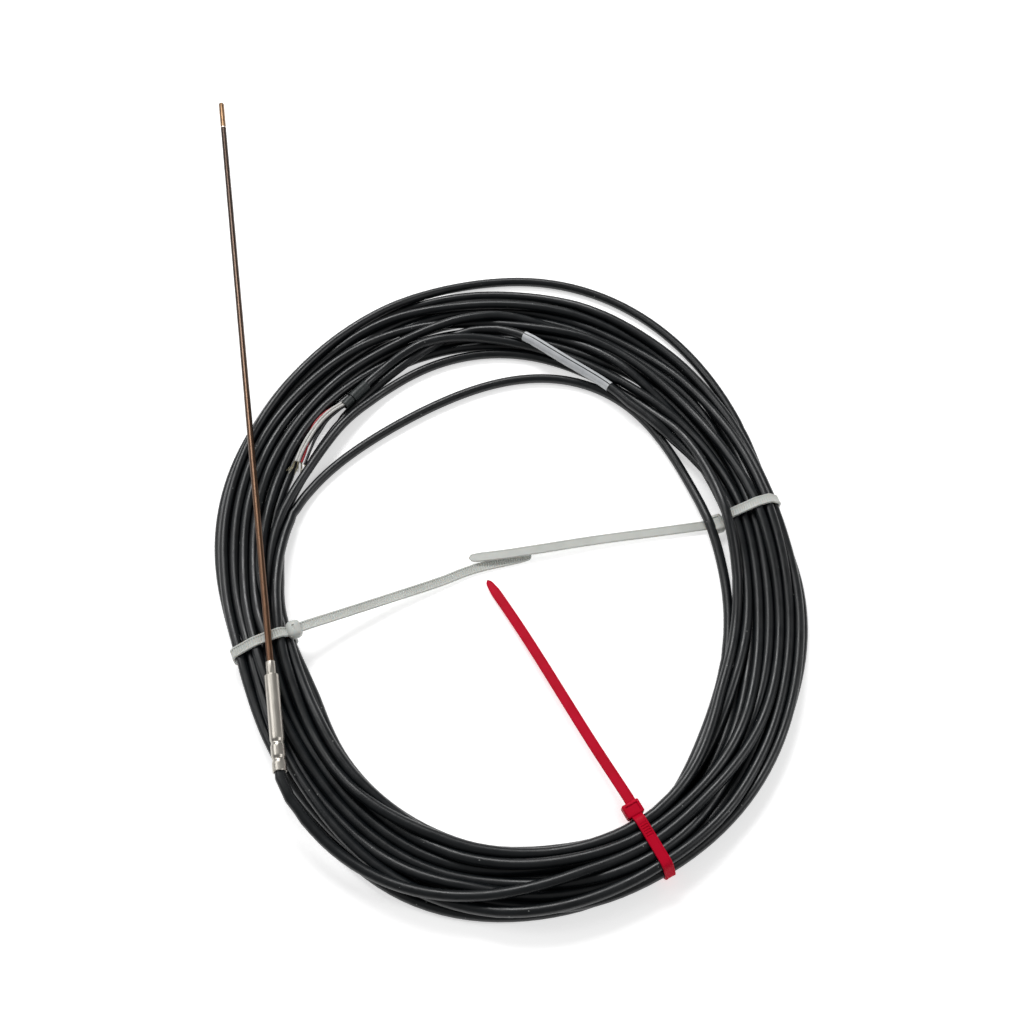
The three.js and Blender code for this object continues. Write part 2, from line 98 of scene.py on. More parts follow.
def add_camera():
    data = bpy.data.cameras.new("camera")
    data.lens = LENS_MM
    data.sensor_width = 36.0
    data.clip_start = 0.01
    camera = bpy.data.objects.new("camera", data)
    camera.location = Vector(CAMERA_AT_MM) * MM
    camera.rotation_euler = [math.radians(a) for a in CAMERA_TURN_DEG]
    bpy.context.scene.collection.objects.link(camera)
    bpy.context.scene.camera = camera


add_camera()

# ---- small helpers


def ease(t):
    t = np.clip(t, 0.0, 1.0)
    return t * t * (3 - 2 * t)


def catmull_rom(points, step):
    """Points about step apart on a smooth curve through the given ones."""
    p = np.array(points, float)
    p = np.vstack([2 * p[0] - p[1], p, 2 * p[-1] - p[-2]])
    out = []
    for i in range(1, len(p) - 2):
        a, b, c, d = p[i - 1:i + 3]
        count = max(2, int(round(np.linalg.norm(c - b) / step)))
        t = np.arange(count)[:, None] / count
        out.append(0.5 * (2 * b + (c - a) * t + (2 * a - 5 * b + 4 * c - d) * t ** 2
                          + (3 * b - a - 3 * c + d) * t ** 3))
    out.append(p[-2][None])
    return np.vstack(out)


def along(points, step):
    """The polyline again, in equal steps of about step."""
    p = np.array(points, float)
    s = np.concatenate([[0], np.cumsum(np.linalg.norm(np.diff(p, axis=0), axis=1))])
    at = np.linspace(0, s[-1], max(2, int(round(s[-1] / step)) + 1))
    return np.stack([np.interp(at, s, p[:, k]) for k in range(3)], axis=1)


def to_world(points):
    """From the cord's own frame in millimetres to metres."""
    return (np.asarray(points, float) + ORIGIN) * MM


def mesh_piece(name, points, faces, surface, smooth=True):
    """A piece from points already in metres."""
    mesh = bpy.data.meshes.new(name)
    mesh.from_pydata([tuple(p) for p in points], [], [tuple(f) for f in faces])
    mesh.validate()
    work = bmesh.new()
    work.from_mesh(mesh)
    bmesh.ops.recalc_face_normals(work, faces=work.faces)
    work.to_mesh(mesh)
    work.free()
    mesh.polygons.foreach_set("use_smooth", [smooth] * len(mesh.polygons))
    mesh.materials.append(surface)
    piece = bpy.data.objects.new(name, mesh)
    bpy.context.scene.collection.objects.link(piece)
    return piece


def sharp_edges(piece, degrees=35):
    piece.data.set_sharp_from_angle(angle=math.radians(degrees))


def finish_piece(piece, slot, *nodes):
    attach(piece, "root")
    if nodes:
        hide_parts(*nodes)
    return piece


def rings_to_mesh(rings, closed_loop=False):
    """Faces between rings of points; the ends are capped unless the rings close on themselves."""
    count = len(rings[0])
    points = np.vstack(rings)
    faces = []
    last = len(rings) if closed_loop else len(rings) - 1
    for i in range(last):
        a, b = i * count, (i + 1) % len(rings) * count
        for j in range(count):
            k = (j + 1) % count
            faces.append((a + j, a + k, b + k, b + j))
    if not closed_loop:
        faces.append(tuple(range(count - 1, -1, -1)))
        faces.append(tuple((len(rings) - 1) * count + j for j in range(count)))
    return points, faces


def frames_along(path):
    """Unit tangent and two unit normals at each point, turned as little as possible."""
    p = np.asarray(path, float)
    t = np.gradient(p, axis=0)
    t /= np.linalg.norm(t, axis=1)[:, None]
    n = np.zeros_like(t)
    start = np.cross(t[0], (0, 0, 1))
    if np.linalg.norm(start) < 0.1:
        start = np.cross(t[0], (1, 0, 0))
    n[0] = start / np.linalg.norm(start)
    for i in range(1, len(p)):
        v = n[i - 1] - t[i] * (n[i - 1] @ t[i])
        n[i] = v / np.linalg.norm(v)
    return t, n, np.cross(t, n)


def tube_rings(path, radius, sides=16):
    """Rings round the path; radius is a number or a function of (share of the length, angles)."""
    t, n, b = frames_along(path)
    angles = np.arange(sides) * 2 * math.pi / sides
    rings = []
    for i, p in enumerate(path):
        share = i / (len(path) - 1)
        r = radius(share, angles) if callable(radius) else radius
        r = np.broadcast_to(np.asarray(r, float), angles.shape)[:, None]
        rings.append(p + r * (np.cos(angles)[:, None] * n[i] + np.sin(angles)[:, None] * b[i]))
    return rings


def joined_meshes(parts):
    points, faces, start = [], [], 0
    for part_points, part_faces in parts:
        points.append(part_points)
        faces += [tuple(start + v for v in f) for f in part_faces]
        start += len(part_points)
    return np.vstack(points), faces


def sleeve_mesh(path, outer, inner, sides=32):
    """A tube with a bore, closed at both ends by the wall's own end faces."""
    rings = tube_rings(path, outer, sides) + tube_rings(path, inner, sides)[::-1]
    return rings_to_mesh(rings, closed_loop=True)


def turned_rings(profile, sides=64, shape=None):
    """Rings about Y from a profile of (radius, y); shape(radius, y, angles) may change the radius."""
    angles = np.arange(sides) * 2 * math.pi / sides
    rings = []
    for radius, y in profile:
        r = np.full(sides, float(radius)) if shape is None else shape(radius, y, angles)
        rings.append(np.stack([r * np.cos(angles), np.full(sides, float(y)), r * np.sin(angles)], axis=1))
    return rings

# ---- the cord's coil
# The cable runs anticlockwise from the ferrule, on top of the bundle, then LAPS times round and out to
# its far end. Each lap is followed at stations STATION_DEG apart round COIL_CENTRE; at each station the
# strands are discs that gravity, the floor, the ties and each other hold in place.

COIL_CENTRE = np.array([108.0, 86.5])
STATION_DEG = 2.0
STATIONS = int(360 / STATION_DEG)
START_DEG = 219.0
END_DEG = 117.0 + 360 * 15
LAPS = 15
SETTLING_ROUNDS, FINISHING_ROUNDS = 900, 200
LAY_SEED = 9                       # the lay depends on it; others may bend tighter than allowed

LABEL_RADIUS = 2.5
EDGE_PLANE_Z = -8.0                # the coil's edges are given as the camera sees them on this plane
OUTER_EDGE = [131.8, 132.4, 138.3, 143.5, 148.2, 153.6, 156.8, 155.2, 148.8, 141.6, 137.4, 133.1,
              128.5, 127.9, 134.1, 144.4, 156.0, 161.6, 160.9, 158.1, 153.9, 147.2, 141.7, 137.2]
INNER_EDGE = [103.5, 101.5, 99.5, 100.5, 102.6, 106.6, 104.3, 102.6, 103.6, 101.2, 98.6, 98.2,
              100.2, 100.9, 104.6, 115.5, 124.4, 131.5, 133.0, 131.5, 122.6, 111.5, 105.8, 103.9]

# Which place across the bundle each lap takes where it passes the right tie: 0 is innermost.
LAP_PLACES = [11, 9, 11, 8, 5, 7, 10, 13, 14, 12, 6, 3, 2, 0, 1, 4]
TOP_LAP, LABEL_LAP, INNER_LAP, HEAD_LAP = 8, 12, 13, 14
# One turn isn't held by the right tie: it passes over the band's inner corner, above the tie's head.
OVER_TIE_RADIUS, OVER_TIE_Z = 103.8, -1.2

# Two turns keep to the inner edge beside the far end, and the rest leave a gap where the floor shows.
APART_LAPS = (12, 14)
APART_FROM_DEG, APART_TO_DEG = 119.0, 150.0
APART_GAP = 9.2                    # from the inner edge's turn to the next one, centre to centre
# The free cores lie in a hollow, this far out from the middle, with one layer of turns below them.
HOLLOW_DEG = [121, 130, 136, 143, 148]
HOLLOW_RADIUS = [114.8, 115.4, 113.9, 110.9, 111.5]

# Routes given in the cord's own frame.
LEAD_ROUTE = [(0, 0), (0.3, -5), (3.2, -12), (9, -21), (16, -31), (25, -41), (36, -50), (49, -57),
              (64, -61), (82, -62.5), (100, -61.5), (116, -58.5), (134, -53), (148, -47.5)]
TAIL_ROUTE = [(98, 213), (87, 210), (78, 206.5), (69, 201.5), (62.5, 196.5), (57.6, 192)]
INNER_ROUTE = [(196, 23.5), (200.2, 33), (205.2, 53), (206.3, 73), (205.2, 93.2), (200.2, 114),
               (194.7, 134.3), (188, 154.6), (173, 173.8), (154, 181.9), (132, 183.8), (113, 182),
               (92.9, 177), (70.8, 169), (49.7, 157), (35.6, 148.4), (17, 128)]
TOP_ROUTE = [(231, 134), (227, 152), (221.5, 169), (212, 191), (197, 211), (177.5, 229), (158.5, 239),
             (139, 244.2), (125, 245.6), (115, 245.6), (100.5, 243), (86, 238)]
LABEL_ROUTE = [(190, 136.5), (184, 154.5), (175, 168.5), (166, 178.5), (157.5, 187.5), (148.6, 197),
               (140, 206.5), (128, 212.5), (112, 214.5)]

# Where each tie crosses the bundle: centre, direction towards the coil's middle, inner width.
TIES = {
    "tie_left": {"centre": (-3.5, 61.2), "turn": 12, "width": 26.6},
    "tie_right": {"centre": (225.5, 88.3), "turn": 188, "width": 26.6},
    "tie_red": {"centre": (144, -55.5), "turn": 108.5, "width": 26.6},
}
STRAP_WIDTH, STRAP_THICKNESS = 4.6, 1.2
BAND_LOW, BAND_HIGH = 1.5, 13.8    # inside of a band, above the floor


def periodic(values):
    """A smooth periodic function of the angle in degrees through evenly spaced values."""
    spectrum = np.fft.rfft(values) / len(values)

    def at(degrees):
        a = np.radians(np.asarray(degrees, float))
        total = np.full(a.shape, spectrum[0].real)
        for k in range(1, len(spectrum)):
            weight = 1.0 if 2 * k == len(values) else 2.0
            total = total + weight * (spectrum[k].real * np.cos(k * a) - spectrum[k].imag * np.sin(k * a))
        return total
    return at


def angle_from(angles, centre):
    return np.abs((angles - centre + 180) % 360 - 180)


def settle_coil():
    """The cable's centreline, one point for each station it passes, and which points bear the label."""
    count = int(round((END_DEG - START_DEG) / STATION_DEG)) + 1
    angle = START_DEG + STATION_DEG * np.arange(count)
    out_x, out_y = np.cos(np.radians(angle)), np.sin(np.radians(angle))
    camera = np.array(CAMERA_AT_MM) - ORIGIN

    def lowered(radius, z):
        """The radius at height z that the camera sees at this radius on the edge plane."""
        k = (z - EDGE_PLANE_Z) / (camera[2] - z)
        away = ((COIL_CENTRE[0] + radius * out_x - camera[0]) * out_x
                + (COIL_CENTRE[1] + radius * out_y - camera[1]) * out_y)
        return radius - k / (1 + k) * away

    # Places across the bundle: each lap moves over to the next one's place between the ties.
    places = np.array(LAP_PLACES, float)
    lap = np.floor(angle / 360).astype(int)
    part = angle / 360 - lap
    here, after = places[np.clip(lap, 0, 15)], places[np.clip(lap + 1, 0, 15)]
    moved = 0.45 * ease((part - 0.10) / 0.30) + 0.55 * ease((part - 0.50) / 0.28)
    across = (here + (after - here) * moved) / 14
    random = np.random.default_rng(LAY_SEED)
    for height, laps_long in ((0.03, 0.37), (0.06, 0.71), (0.04, 1.27)):
        wave = np.sin(2 * math.pi * (angle / 360 / laps_long + random.random()))
        across = across + height * wave * np.clip(4 * np.minimum(across, 1 - across), 0, 1)
    across = np.clip(across, 0, 1)
    inner = periodic(INNER_EDGE)(angle) + CABLE_RADIUS
    outer = periodic(OUTER_EDGE)(angle) - CABLE_RADIUS
    turned_by = angle % 360
    apart = ease((turned_by - APART_FROM_DEG) / 8) * ease((APART_TO_DEG - turned_by) / 8)
    pair = np.isin(lap, APART_LAPS)
    kept_off = np.where(pair, 0, APART_GAP * apart)
    kept_in = np.where(pair & (apart > 0), 1.0 + 60 * (1 - apart) ** 2, 1e3)
    wanted = inner + np.clip(across * (outer - inner), kept_off, kept_in)
    hollow = np.interp(turned_by, HOLLOW_DEG, HOLLOW_RADIUS)
    hollowed = (turned_by > HOLLOW_DEG[0]) & (turned_by < HOLLOW_DEG[-1]) & ~pair
    pull = np.full(count, 0.02)
    seen = np.ones(count, bool)         # wanted radius is as seen on the edge plane

    def take_route(route, near_deg, strength, as_seen=False):
        route = np.array(route, float) - COIL_CENTRE
        a = np.degrees(np.unwrap(np.arctan2(route[:, 1], route[:, 0])))
        a += 360 * round((near_deg - a.mean()) / 360)
        on = (angle >= a[0] - 0.01) & (angle <= a[-1] + 0.01)
        wanted[on] = np.interp(angle[on], a, np.hypot(route[:, 0], route[:, 1]))
        pull[on] = strength
        seen[on] = as_seen
        return on

    lead = take_route(LEAD_ROUTE, 250, 0.5, as_seen=True)
    tail = take_route(TAIL_ROUTE, 105 + 360 * LAPS, 0.5)
    top = take_route(TOP_ROUTE, 70 + 360 * TOP_LAP, 0.4, as_seen=True)
    loose = take_route(INNER_ROUTE, 60 + 360 * INNER_LAP, 0.4)
    label = take_route(LABEL_ROUTE, 62 + 360 * LABEL_LAP, 0.8, as_seen=True)
    head_deg = 360.0 * HEAD_LAP
    by_head = np.clip(1 - (np.abs(angle - head_deg) - 4) / 12, 0, 1)
    wanted[by_head > 0] = (wanted + ease(by_head) * (OVER_TIE_RADIUS - wanted))[by_head > 0]
    pull = np.maximum(pull, 0.4 * ease(by_head))
    free = lead | tail | top | loose | (by_head > 0)

    # The laps are stacked by turns, first and last on top, and sink from there.
    laps_done = (angle - START_DEG) / 360
    level = np.where(laps_done < 7.25, 14 - 2 * laps_done, 2 * laps_done - 15)
    z = FLOOR_Z + CABLE_RADIUS + 3.2 * np.clip(level, 0, 14.5)
    z[loose | top] = FLOOR_Z + CABLE_RADIUS
    label_deg = angle - 360 * LABEL_LAP
    carried = np.flatnonzero((label_deg > 42) & (label_deg < 74))
    z += 12 * ease((label_deg - 30) / 16) * ease((78 - label_deg) / 7)
    r = wanted.copy()

    bands = []
    for name, tie in TIES.items():
        dx, dy = np.array(tie["centre"]) - COIL_CENTRE
        middle, tie_deg = math.hypot(dx, dy), math.degrees(math.atan2(dy, dx))
        away = np.maximum(0, np.radians(angle_from(angle, tie_deg)) * middle - STRAP_WIDTH / 2 - 0.4)
        inside = away < 14
        if name == "tie_right":
            over_head = by_head > 0
            head_slack = 0.018 * away[over_head] ** 2
            inside &= ~loose & ~over_head
        half = tie["width"] / 2 - CABLE_RADIUS
        slack = 0.035 * away[inside] ** 2
        bands.append((inside, middle - half - slack, middle + half + slack, slack))
    pinned_r = wanted[:4].copy()
    pinned_z = np.array([0.0, -0.3, -1.0, -2.0])

    def constrain():
        x, y = COIL_CENTRE[0] + r * out_x, COIL_CENTRE[1] + r * out_y
        low, high = lowered(inner, z), lowered(outer, z)
        r[~free] = np.clip(r, low + kept_off, np.minimum(high, low + kept_in))[~free]
        kept_low = hollowed & (r < hollow + 4.6)
        most = FLOOR_Z + CABLE_RADIUS + 1.4 * np.maximum(0, r - hollow - 2.4)
        z[kept_low] = np.minimum(z, most)[kept_low]
        np.maximum(z, FLOOR_Z + CABLE_RADIUS, out=z)
        for inside, low, high, slack in bands:
            r[inside] = np.clip(r[inside], low, high)
            z[inside] = np.clip(z[inside], FLOOR_Z + BAND_LOW + CABLE_RADIUS - slack,
                                FLOOR_Z + BAND_HIGH - CABLE_RADIUS + slack)
        z[over_head] = np.maximum(z[over_head], OVER_TIE_Z - head_slack)
        beside = 0.05 * np.maximum(0, np.abs(x) - 4.5) ** 2
        under = (np.abs(x) < 18) & (y > -1.5) & (y < 51) & ~lead
        z[under] = np.minimum(z[under], (beside - FERRULE_RADIUS - 0.2 - CABLE_RADIUS)[under])
        under = (np.abs(x) < 18) & (y >= 51) & (y < 160)
        z[under] = np.minimum(z[under], (beside - SHEATH_RADIUS - 0.2 - CABLE_RADIUS)[under])
        on_strap = loose & (np.abs(y - 87) < 4.5) & (x > 150)
        z[on_strap] = np.maximum(z[on_strap], FLOOR_Z + 2.4 + CABLE_RADIUS)
        r[:4], z[:4] = pinned_r, pinned_z

    grid_size = LAPS * STATIONS
    spare = np.arange(grid_size - count) * 50.0 + 1e4

    def push_apart():
        g = np.concatenate([r, spare]).reshape(LAPS, STATIONS)
        h = np.concatenate([z, 0 * spare]).reshape(LAPS, STATIONS)
        dr, dz = g[:, None] - g[None], h[:, None] - h[None]
        distance = np.sqrt(dr * dr + dz * dz)
        distance[np.arange(LAPS), np.arange(LAPS)] = 1e3
        overlap = np.clip(CABLE_DIA - distance, 0, None)
        shared = np.maximum(1, (overlap > 1e-4).sum(1) ** 0.35)
        push = overlap / np.maximum(distance, 1e-3) / 2
        r[:] += ((push * dr).sum(1) / shared).ravel()[:count]
        z[:] += ((push * dz).sum(1) / shared).ravel()[:count]
        return overlap.max()

    def carry_label():
        """The turn with the marker lies on top of whatever it crosses."""
        for k in carried:
            others = np.arange(k % STATIONS, count, STATIONS)
            others = others[others != k]
            reach = CABLE_RADIUS + (LABEL_RADIUS if 50 < label_deg[k] < 75 else CABLE_RADIUS)
            beside = np.abs(r[others] - r[k])
            rise = np.sqrt(np.maximum(0, reach ** 2 - beside ** 2))
            z[k] = max(z[k], (z[others] + rise)[beside < reach].max(initial=-99.0))

    def stiffen(v, weight, reach):
        bend = (v[:-4 * reach] - 4 * v[reach:-3 * reach] + 6 * v[2 * reach:-2 * reach]
                - 4 * v[3 * reach:-reach] + v[4 * reach:])
        v[2 * reach:-2 * reach] -= weight * bend / 16

    for i in range(SETTLING_ROUNDS):
        done = i / SETTLING_ROUNDS
        z -= 0.35 if done < 0.35 else (0.12 if done < 0.8 else 0.05)
        aim = np.where(seen, lowered(wanted, z), wanted)
        r += pull * (aim - r)
        for reach in (1, 2, 3, 4):
            stiffen(r, 0.85, reach)
            stiffen(z, 0.85 if reach < 3 else 0.5, reach)
        for _ in range(3 if done < 0.8 else 5):
            push_apart()
            constrain()
        carry_label()
    for i in range(FINISHING_ROUNDS):
        done = i / FINISHING_ROUNDS
        z -= 0.02
        r[label] += 0.5 * (lowered(wanted, z) - r)[label]
        for reach in (1, 2, 3):
            stiffen(r, 0.7 - 0.4 * done, reach)
            stiffen(z, 0.7 - 0.4 * done, reach)
        carry_label()
        for _ in range(8):
            worst = push_apart()
            constrain()
    print("coil settled, deepest overlap", round(float(worst), 3), "mm")
    path = np.stack([COIL_CENTRE[0] + r * out_x, COIL_CENTRE[1] + r * out_y, z], axis=1)
    return path, label


coil_path, on_label = settle_coil()

# ---- materials


class Surface:
    """A material with a principled shader and the few kinds of detail that this object needs."""

    def __init__(self, name, colour, roughness, metallic=0.0, **settings):
        self.material = bpy.data.materials.new(name)
        self.material.use_nodes = True
        self.tree = self.material.node_tree
        self.shader = self.tree.nodes["Principled BSDF"]
        self.shader.inputs["Base Color"].default_value = (*colour, 1)
        self.shader.inputs["Roughness"].default_value = roughness
        self.shader.inputs["Metallic"].default_value = metallic
        for socket, value in settings.items():
            self.shader.inputs[socket.replace("_", " ")].default_value = value
        self.material.diffuse_color = (*colour, 1)
        self.bump_normal = None

    def node(self, kind, **values):
        made = self.tree.nodes.new(kind)
        for key, value in values.items():
            if key in made.inputs:
                made.inputs[key].default_value = value
            else:
                setattr(made, key, value)
        return made

    def link(self, out_socket, in_socket):
        self.tree.links.new(out_socket, in_socket)

    def place(self, stretch=(1, 1, 1)):
        """Object coordinates in millimetres, stretched per axis."""
        coords = self.node("ShaderNodeTexCoord")
        scale = self.node("ShaderNodeMapping")
        scale.inputs["Scale"].default_value = [1000 * s for s in stretch]
        self.link(coords.outputs["Object"], scale.inputs["Vector"])
        return scale.outputs["Vector"]

    def noise(self, size_mm, detail=4, stretch=(1, 1, 1), roughness=0.55):
        made = self.node("ShaderNodeTexNoise", Scale=1 / size_mm, Detail=detail, Roughness=roughness)
        self.link(self.place(stretch), made.inputs["Vector"])
        return made.outputs["Fac"]

    def ramp(self, factor, stops):
        made = self.node("ShaderNodeValToRGB")
        elements = made.color_ramp.elements
        while len(elements) < len(stops):
            elements.new(0.5)
        for element, (at, colour) in zip(elements, stops):
            element.position = at
            element.color = (*colour, 1)
        self.link(factor, made.inputs["Fac"])
        return made.outputs["Color"]

    def spread(self, factor, low, high, from_low=0.3, from_high=0.7):
        made = self.node("ShaderNodeMapRange")
        for key, value in (("From Min", from_low), ("From Max", from_high),
                           ("To Min", low), ("To Max", high)):
            made.inputs[key].default_value = value
        self.link(factor, made.inputs["Value"])
        return made.outputs["Result"]

    def mixed(self, factor, first, second, kind="MIX"):
        made = self.node("ShaderNodeMix", data_type="RGBA", blend_type=kind)
        for socket, value in (("A", first), ("B", second)):
            target = [s for s in made.inputs if s.name == socket and s.type == "RGBA"][0]
            if isinstance(value, tuple):
                target.default_value = (*value, 1)
            else:
                self.link(value, target)
        target = made.inputs["Factor"]
        if isinstance(factor, (int, float)):
            target.default_value = factor
        else:
            self.link(factor, target)
        return [s for s in made.outputs if s.type == "RGBA"][0]

    def colour(self, socket):
        self.link(socket, self.shader.inputs["Base Color"])
        return self

    def vary_colour(self, size_mm, dark, light, stretch=(1, 1, 1), detail=4):
        return self.colour(self.ramp(self.noise(size_mm, detail, stretch), [(0.3, dark), (0.7, light)]))

    def vary_roughness(self, size_mm, low, high, stretch=(1, 1, 1)):
        self.link(self.spread(self.noise(size_mm, 3, stretch), low, high), self.shader.inputs["Roughness"])
        return self

    def bump(self, height, depth_mm, strength=1.0):
        made = self.node("ShaderNodeBump", Strength=strength, Distance=depth_mm * MM)
        self.link(height, made.inputs["Height"])
        if self.bump_normal is not None:
            self.link(self.bump_normal, made.inputs["Normal"])
        self.bump_normal = made.outputs["Normal"]
        self.link(self.bump_normal, self.shader.inputs["Normal"])
        return self


def specks(surface, base, size_mm, share, speck):
    """The base colour with sparse small specks, such as dust."""
    cells = surface.node("ShaderNodeTexVoronoi", Scale=1 / size_mm)
    surface.link(surface.place(), cells.inputs["Vector"])
    chosen = surface.node("ShaderNodeMath", operation="GREATER_THAN")
    parts = surface.node("ShaderNodeSeparateColor")
    surface.link(cells.outputs["Color"], parts.inputs["Color"])
    surface.link(parts.outputs["Red"], chosen.inputs[0])
    chosen.inputs[1].default_value = 1 - share
    near = surface.node("ShaderNodeMath", operation="LESS_THAN")
    surface.link(cells.outputs["Distance"], near.inputs[0])
    near.inputs[1].default_value = 0.22
    both = surface.node("ShaderNodeMath", operation="MULTIPLY")
    surface.link(chosen.outputs[0], both.inputs[0])
    surface.link(near.outputs[0], both.inputs[1])
    return surface.mixed(both.outputs[0], base, speck)


def jacket_surface():
    s = Surface("black_jacket", (0.005, 0.006, 0.007), 0.36, Specular_IOR_Level=0.5)
    base = s.ramp(s.noise(9.0, 5), [(0.3, (0.0016, 0.0026, 0.0036)), (0.7, (0.0036, 0.0054, 0.0070))])
    s.colour(specks(s, base, 1.3, 0.012, (0.16, 0.165, 0.16)))
    s.vary_roughness(6.0, 0.30, 0.44)
    s.bump(s.noise(0.35, 3), 0.015, 0.4)
    s.bump(s.noise(7.0, 3), 0.10, 0.5)
    return s.material


def metal_surface(name, dark, light, roughness, brush=(1, 0.04, 1), size=0.35, depth=0.002):
    """Metal with fine lines along Y and a little mottling."""
    s = Surface(name, light, roughness, 1.0)
    s.vary_colour(4.0, dark, light, stretch=(1, 0.4, 1), detail=2)
    s.vary_roughness(2.0, roughness - 0.03, roughness + 0.05, stretch=(1, 0.3, 1))
    s.bump(s.noise(size, 3, stretch=brush), depth, 0.4)
    return s.material


def sheath_surface():
    """Steel tinted brown by heat, mottled and drawn; it runs from dark brown near the tip to amber towards
    the ferrule, and this change along the length is painted shade and painted light.
    """
    s = Surface("tinted_sheath", (0.2, 0.12, 0.07), 0.34, 1.0)
    coords = s.node("ShaderNodeTexCoord")
    parts = s.node("ShaderNodeSeparateXYZ")
    s.link(coords.outputs["Object"], parts.inputs["Vector"])
    share = s.spread(parts.outputs["Y"], 0.0, 1.0, SHEATH_FRONT_Y * MM, SHOULDER_Y * MM)
    # Ramp along Y: the brown is the steel's heat tint; the darkening towards the tip is painted shade and the
    # lighter amber towards the ferrule is painted light.
    heat_tint_and_painted_shade = s.ramp(share, [(0.0, (0.060, 0.045, 0.038)), (0.22, (0.066, 0.049, 0.040)),
                          (0.5, (0.095, 0.064, 0.046)), (0.78, (0.140, 0.080, 0.049)),
                          (1.0, (0.160, 0.085, 0.050))])
    cloudy = s.mixed(s.spread(s.noise(4.0, 4, (1, 0.25, 1)), 0.0, 0.35), heat_tint_and_painted_shade, (0.09, 0.055, 0.04))
    s.colour(cloudy)
    s.vary_roughness(1.5, 0.28, 0.40, (1, 0.2, 1))
    s.bump(s.noise(0.3, 3, (1, 0.05, 1)), 0.003, 0.5)
    return s.material


def nylon_surface(name, dark, light, roughness, **settings):
    s = Surface(name, light, roughness, 0.0, IOR=1.53, Subsurface_Radius=(0.003, 0.002, 0.0015), **settings)
    s.vary_colour(9.0, dark, light, detail=2)
    s.vary_roughness(3.0, roughness - 0.04, roughness + 0.05)
    s.bump(s.noise(1.6, 2), 0.008, 0.4)
    return s.material


def plastic_surface(name, dark, light, roughness, grain_mm=0.5, depth=0.02, size=2.0):
    s = Surface(name, light, roughness)
    s.vary_colour(size, dark, light)
    s.vary_roughness(1.0, roughness - 0.07, roughness + 0.07)
    s.bump(s.noise(grain_mm, 4), depth, 0.6)
    return s.material


SURFACES = {
    "tip_bronze": metal_surface("tip_bronze", (0.26, 0.155, 0.085), (0.34, 0.21, 0.12), 0.36),
    "pale_ring": metal_surface("pale_ring", (0.60, 0.50, 0.45), (0.80, 0.70, 0.64), 0.3),
    "tinted_sheath": sheath_surface(),
    "ceramic": plastic_surface("ceramic", (0.72, 0.68, 0.60), (0.86, 0.83, 0.76), 0.65, 0.3, 0.03),
    "nickel_wire": metal_surface("nickel_wire", (0.42, 0.40, 0.37), (0.6, 0.57, 0.52), 0.35),
    "ferrule_steel": metal_surface("ferrule_steel", (0.46, 0.435, 0.39), (0.49, 0.465, 0.42), 0.35,
                                   (1, 0.02, 1), 0.8, 0.0004),
    "splice_copper": metal_surface("splice_copper", (0.45, 0.22, 0.12), (0.66, 0.36, 0.22), 0.38),
    "potting": plastic_surface("potting", (0.015, 0.012, 0.010), (0.035, 0.030, 0.024), 0.5, 0.8, 0.05),
    "cable_jacket": jacket_surface(),
    "heat_shrink": plastic_surface("heat_shrink", (0.008, 0.012, 0.012), (0.016, 0.022, 0.022),
                                   0.5, 0.6, 0.06),
    "white_insulation": plastic_surface("white_insulation", (0.52, 0.51, 0.48), (0.64, 0.63, 0.61), 0.42),
    "red_insulation": plastic_surface("red_insulation", (0.30, 0.010, 0.016), (0.46, 0.020, 0.028), 0.42),
    "black_insulation": plastic_surface("black_insulation", (0.008, 0.008, 0.009), (0.018, 0.018, 0.02),
                                        0.42),
    "tinned_wire": metal_surface("tinned_wire", (0.22, 0.20, 0.13), (0.46, 0.43, 0.31), 0.42),
    "label_film": plastic_surface("label_film", (0.50, 0.52, 0.54), (0.60, 0.615, 0.63),
                                  0.38, 0.8, 0.01, 5.0),
    "natural_nylon": nylon_surface("natural_nylon", (0.60, 0.615, 0.58), (0.67, 0.685, 0.65), 0.45,
                                   Subsurface_Weight=0.2, Transmission_Weight=0.12, Specular_IOR_Level=0.3),
    "red_nylon": nylon_surface("red_nylon", (0.48, 0.0008, 0.017), (0.56, 0.0012, 0.025), 0.5,
                               Subsurface_Weight=0.0, Specular_IOR_Level=0.08),
}

# ---- probe


def closed_lathe(name, profile, slot, *nodes, sides=64, shape=None):
    """A turned piece whose profile goes round a wall's section and closes on itself."""
    rings = turned_rings(profile, sides, shape)
    points, faces = rings_to_mesh(rings, closed_loop=True)
    piece = mesh_piece(name, points * MM, faces, SURFACES[slot])
    sharp_edges(piece)
    return finish_piece(piece, slot, *nodes)


